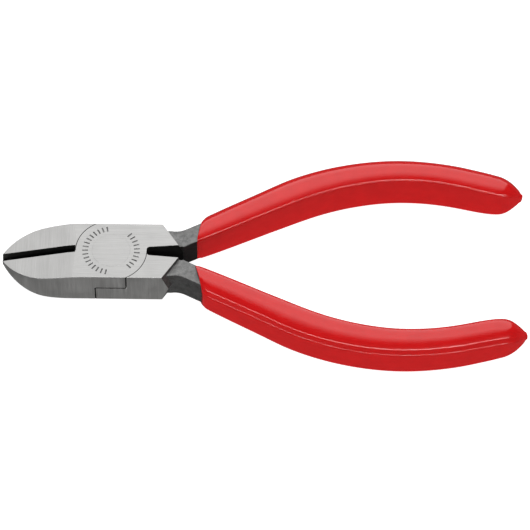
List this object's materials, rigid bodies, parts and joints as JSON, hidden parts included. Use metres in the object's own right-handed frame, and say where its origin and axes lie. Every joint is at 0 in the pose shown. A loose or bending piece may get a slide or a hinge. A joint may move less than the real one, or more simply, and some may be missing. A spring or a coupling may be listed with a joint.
{
  "type": "flush cut pliers",
  "caption": "Small lap-joint side cutter with sloping jaws that close flush, a riveted pivot and dipped plastic handle grips.",
  "frame": {"origin": "on the pivot axis, in the ground back face of the head", "axes": "+X from the pivot to the handle ends, the jaws' tip at -X; +Y across the tool, towards the front lever's handle; +Z out of the head's front face, along the pivot"},
  "size_m": [0.1101, 0.0494, 0.0102],
  "materials": {
    "lever_steel": "ground head, black-oxide forged bars",
    "rivet_steel": "ground flush",
    "grip_plastic": "glossy dipped coating"
  },
  "bodies": {
    "front_half": {"front_lever": "lever_steel", "pivot_rivet": "rivet_steel", "front_grip": "grip_plastic"},
    "back_half": {"back_lever": "lever_steel", "back_grip": "grip_plastic"}
  },
  "joints": [
    {"name": "jaw_pivot", "type": "hinge", "parent": "front_half", "child": "back_half", "pos_m": [0, 0, 0.0041], "axis": [0, 0, -1], "range_deg": [0, 50]}
  ]
}
